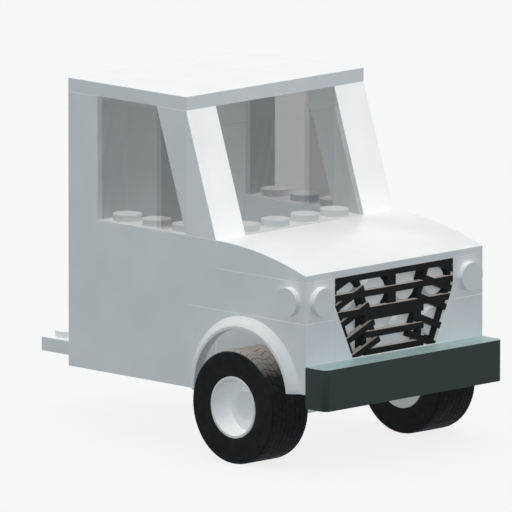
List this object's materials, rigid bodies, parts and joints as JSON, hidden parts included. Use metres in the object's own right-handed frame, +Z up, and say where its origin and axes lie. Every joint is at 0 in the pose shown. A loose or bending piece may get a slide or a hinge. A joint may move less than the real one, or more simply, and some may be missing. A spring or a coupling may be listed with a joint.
{
  "type": "toy brick ambulance front section",
  "caption": "Front section of a toy brick ambulance: cab with clear windows, curved hood, grille, bumper and free-turning wheels, on a plate whose tail studs take the rear body.",
  "frame": {"origin": "middle of the tail plate's studs, on top of the plate", "axes": "+X forward, +Y to the vehicle's left, +Z up"},
  "size_m": [0.0851, 0.055, 0.0684],
  "materials": {
    "white_plastic": "satin moulded",
    "clear_plastic": "clear grey",
    "grille_plastic": "black moulded",
    "bumper_plastic": "dark grey moulded",
    "tyre_rubber": "matt rubber"
  },
  "bodies": {
    "cab": {"axle_carrier": "white_plastic", "back_wall": "white_plastic", "bumper": "bumper_plastic", "chassis_plate": "white_plastic", "chassis_tubes": "white_plastic", "cowl_side_left": "white_plastic", "cowl_side_right": "white_plastic", "dash_brick": "white_plastic", "fender_brick_left": "white_plastic", "fender_brick_right": "white_plastic", "front_sill": "white_plastic", "glass_side_left": "clear_plastic", "glass_side_right": "clear_plastic", "glass_wedge_left": "clear_plastic", "glass_wedge_right": "clear_plastic", "grille": "grille_plastic", "grille_wedge_left": "white_plastic", "grille_wedge_right": "white_plastic", "hood": "white_plastic", "lamp_brick_left": "white_plastic", "lamp_brick_right": "white_plastic", "mudguard_left": "white_plastic", "mudguard_right": "white_plastic", "nose_block": "white_plastic", "pillar_inverted_left": "white_plastic", "pillar_inverted_right": "white_plastic", "pillar_slope_left": "white_plastic", "pillar_slope_right": "white_plastic", "rear_post_left": "white_plastic", "rear_post_right": "white_plastic", "roof_plate": "white_plastic", "side_wall_left": "white_plastic", "side_wall_right": "white_plastic", "windscreen_glass": "clear_plastic"},
    "wheel_right": {"rim_right": "white_plastic", "tyre_right": "tyre_rubber"},
    "wheel_left": {"rim_left": "white_plastic", "tyre_left": "tyre_rubber"}
  },
  "joints": [
    {"name": "wheel_right_spin", "type": "hinge", "parent": "cab", "child": "wheel_right", "pos_m": [0.056, 0, -0.00419], "axis": [0, 1, 0], "continuous": true},
    {"name": "wheel_left_spin", "type": "hinge", "parent": "cab", "child": "wheel_left", "pos_m": [0.056, 0, -0.00419], "axis": [0, 1, 0], "continuous": true}
  ]
}
